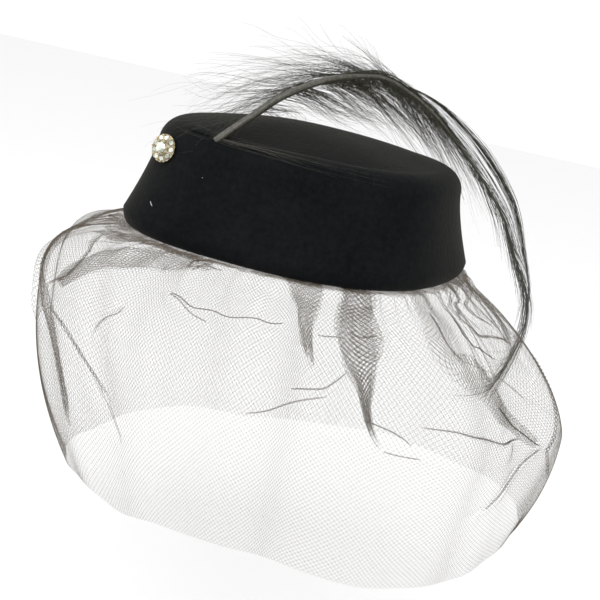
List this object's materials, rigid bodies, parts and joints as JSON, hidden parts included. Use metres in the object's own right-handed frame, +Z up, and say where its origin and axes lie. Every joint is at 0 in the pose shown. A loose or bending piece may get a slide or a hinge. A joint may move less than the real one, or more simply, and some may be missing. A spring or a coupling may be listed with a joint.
{
  "type": "pillbox hat",
  "caption": "Oval pillbox hat of black fur felt with a curled quill plume, a stone-set stud and a gathered net veil below the rim.",
  "frame": {"origin": "middle of the head opening, in the plane of the crown's rim", "axes": "+Z up along the crown's axis, +X towards the back end of the oval, so the stud and the quill's slit are on the -X, -Y side"},
  "size_m": [0.2991, 0.2646, 0.2662],
  "materials": {
    "felt": "brushed fur felt",
    "feather": "satin feather",
    "gilt": "worn gilt",
    "stone": "polished",
    "net": "fine net"
  },
  "bodies": {
    "root": {"crown": "felt", "plume": "feather", "stud_setting": "gilt", "stud_stone_center": "stone", "stud_stone_1": "stone", "stud_stone_2": "stone", "stud_stone_3": "stone", "stud_stone_4": "stone", "stud_stone_5": "stone", "stud_stone_6": "stone", "stud_stone_7": "stone", "stud_stone_8": "stone", "stud_stone_9": "stone", "veil": "net"}
  },
  "joints": []
}
